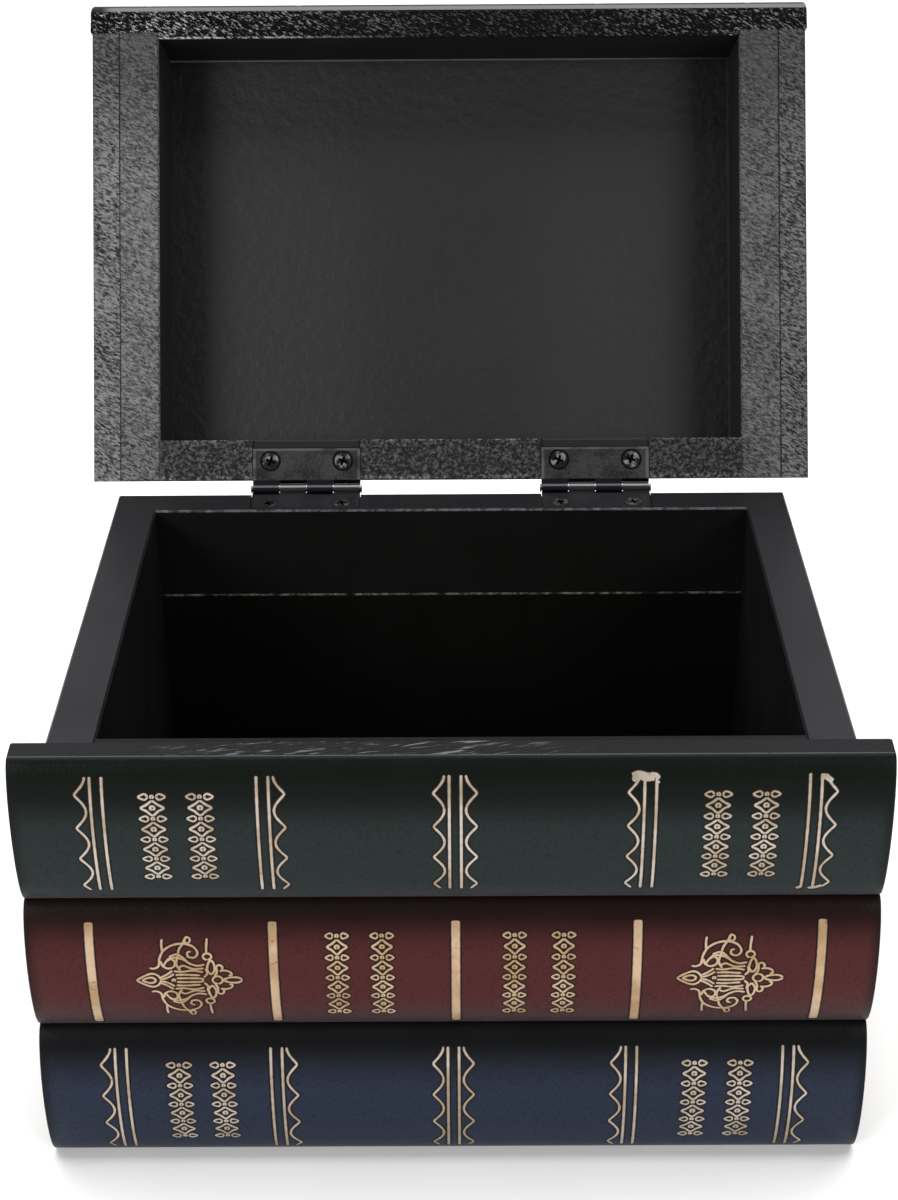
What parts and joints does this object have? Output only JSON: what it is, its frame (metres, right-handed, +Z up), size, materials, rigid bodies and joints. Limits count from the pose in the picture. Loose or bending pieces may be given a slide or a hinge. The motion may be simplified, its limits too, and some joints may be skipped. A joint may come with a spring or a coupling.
{
  "type": "book box",
  "caption": "Hinged keepsake box shaped like a stack of old books with rounded gold-tooled spines. The top book is the lid and stands open.",
  "frame": {"origin": "on the table, under the middle of the box's width and of its depth without the spines", "axes": "+Z up, -Y towards the spines at the front, +Y towards the hinges at the back, X along the books' spines"},
  "size_m": [0.254, 0.3036, 0.2963],
  "materials": {
    "green_leatherette": "dark green satin leatherette with gold tooling",
    "burgundy_leatherette": "burgundy satin leatherette with gold tooling",
    "navy_leatherette": "navy satin leatherette with gold tooling",
    "black_leatherette": "black grained leatherette",
    "painted_wall_board": "fibreboard painted charcoal on the rim and inside, with milled page lines in antique cream outside",
    "black_painted_board": "fibreboard with matte black paint",
    "blackened_hinge_steel": "gunmetal black, glossy on the knuckles",
    "blackened_screw_steel": "black, lightly polished"
  },
  "bodies": {
    "box": {"bottom_board": "navy_leatherette", "floor_panel": "black_painted_board", "left_wall": "painted_wall_board", "right_wall": "painted_wall_board", "front_panel": "black_painted_board", "back_upper_board": "painted_wall_board", "back_lower_board": "painted_wall_board", "green_spine": "green_leatherette", "burgundy_spine": "burgundy_leatherette", "navy_spine": "navy_leatherette", "green_cover_left": "green_leatherette", "green_cover_right": "green_leatherette", "green_cover_back": "green_leatherette", "burgundy_upper_cover_left": "burgundy_leatherette", "burgundy_upper_cover_right": "burgundy_leatherette", "burgundy_upper_cover_back": "burgundy_leatherette", "burgundy_lower_cover_left": "burgundy_leatherette", "burgundy_lower_cover_right": "burgundy_leatherette", "burgundy_lower_cover_back": "burgundy_leatherette", "navy_upper_cover_left": "navy_leatherette", "navy_upper_cover_right": "navy_leatherette", "navy_upper_cover_back": "navy_leatherette", "left_hinge_box_leaf": "blackened_hinge_steel", "right_hinge_box_leaf": "blackened_hinge_steel", "left_hinge_pin": "blackened_hinge_steel", "right_hinge_pin": "blackened_hinge_steel", "box_leaf_screws": "blackened_screw_steel"},
    "lid": {"lid_left_wall": "painted_wall_board", "lid_right_wall": "painted_wall_board", "lid_front_panel": "black_painted_board", "lid_back_rail": "painted_wall_board", "lid_inner_panel": "black_painted_board", "lid_top_board": "black_leatherette", "lid_strip_left": "black_leatherette", "lid_strip_right": "black_leatherette", "lid_spine": "black_leatherette", "left_hinge_lid_leaf": "blackened_hinge_steel", "right_hinge_lid_leaf": "blackened_hinge_steel", "lid_leaf_screws": "blackened_screw_steel"}
  },
  "joints": [
    {"name": "lid_hinge", "type": "hinge", "parent": "box", "child": "lid", "pos_m": [0, 0.0826, 0.1488], "axis": [1, 0, 0], "range_deg": [0, 120]}
  ]
}
